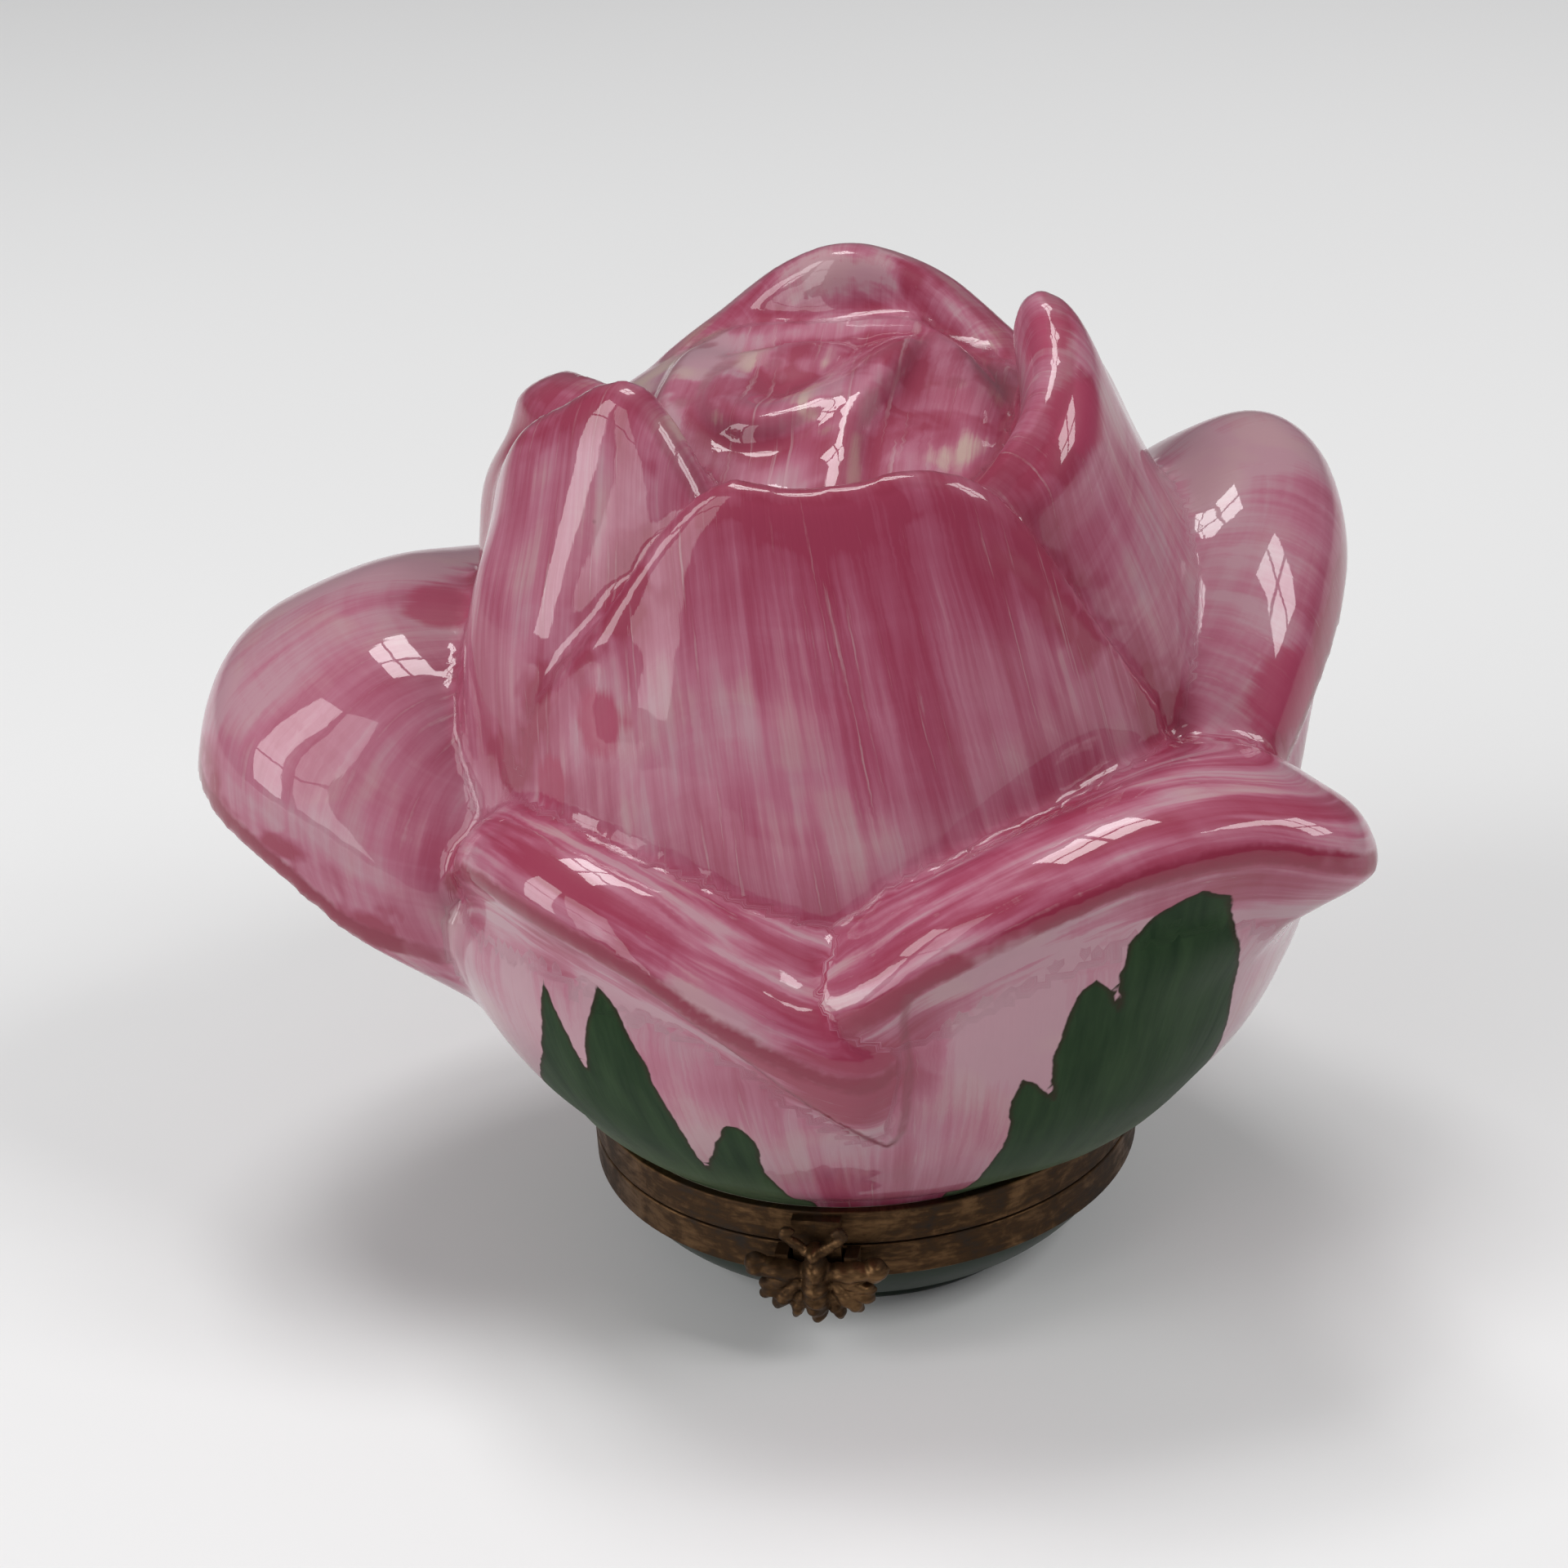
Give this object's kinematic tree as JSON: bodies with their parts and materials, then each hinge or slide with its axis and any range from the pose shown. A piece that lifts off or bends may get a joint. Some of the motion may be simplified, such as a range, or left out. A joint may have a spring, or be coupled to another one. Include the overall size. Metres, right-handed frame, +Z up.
{
  "type": "hinged porcelain powder jar",
  "caption": "Small hinged porcelain powder jar shaped as an open rose, with brass rims, a rear hinge and a cast front clasp; the bloom is the lid.",
  "frame": {"origin": "centre of the flat underside of the base, where it stands on the table", "axes": "+Z up, -Y to the front where the clasp is, +Y to the hinge, +X to the right of someone facing the clasp"},
  "size_m": [0.0668, 0.0578, 0.0535],
  "materials": {
    "rose_glaze": "gloss",
    "leaf_glaze": "gloss",
    "cement": "matte",
    "aged_brass": "aged satin"
  },
  "bodies": {
    "base": {"base_porcelain": "leaf_glaze", "base_setting_cement": "cement", "base_bezel": "aged_brass", "base_hinge_leaf": "aged_brass", "base_knuckle_left": "aged_brass", "base_knuckle_centre": "aged_brass", "base_knuckle_right": "aged_brass", "hinge_pin": "aged_brass", "clasp_keeper": "aged_brass", "clasp_ornament": "aged_brass"},
    "lid": {"lid_porcelain": "rose_glaze", "lid_setting_cement": "cement", "lid_bezel": "aged_brass", "lid_hinge_leaf": "aged_brass", "lid_knuckle_left": "aged_brass", "lid_knuckle_right": "aged_brass", "clasp_tongue": "aged_brass"}
  },
  "joints": [
    {"name": "lid_hinge", "type": "hinge", "parent": "base", "child": "lid", "pos_m": [0, 0.0169, 0.007], "axis": [-1, 0, 0], "range_deg": [0, 70]}
  ]
}
